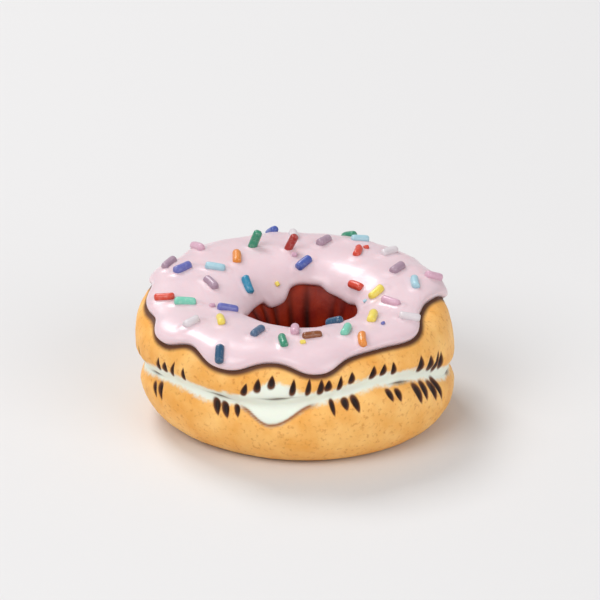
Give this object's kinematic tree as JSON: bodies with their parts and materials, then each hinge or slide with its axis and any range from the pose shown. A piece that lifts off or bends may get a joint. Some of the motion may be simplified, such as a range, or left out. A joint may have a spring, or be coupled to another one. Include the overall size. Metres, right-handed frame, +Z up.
{
  "type": "iced doughnut",
  "caption": "Raised ring doughnut with a pale puckered waist, under dripping pink icing with coloured sugar strands; it rests flat on its base.",
  "frame": {"origin": "on the surface that the doughnut rests on, under the middle of its bounding box", "axes": "+Z up, along the axis of the hole; -Y is the side that the picture shows, and +X is to the right of the picture"},
  "size_m": [0.0898, 0.0879, 0.0431],
  "materials": {
    "fried_crust": "golden fried crust, satin, paler at the waist",
    "pink_icing": "set sugar icing, soft gloss, with sugar strands of several colours"
  },
  "bodies": {
    "root": {"dough_ring": "fried_crust", "pink_icing": "pink_icing"}
  },
  "joints": []
}
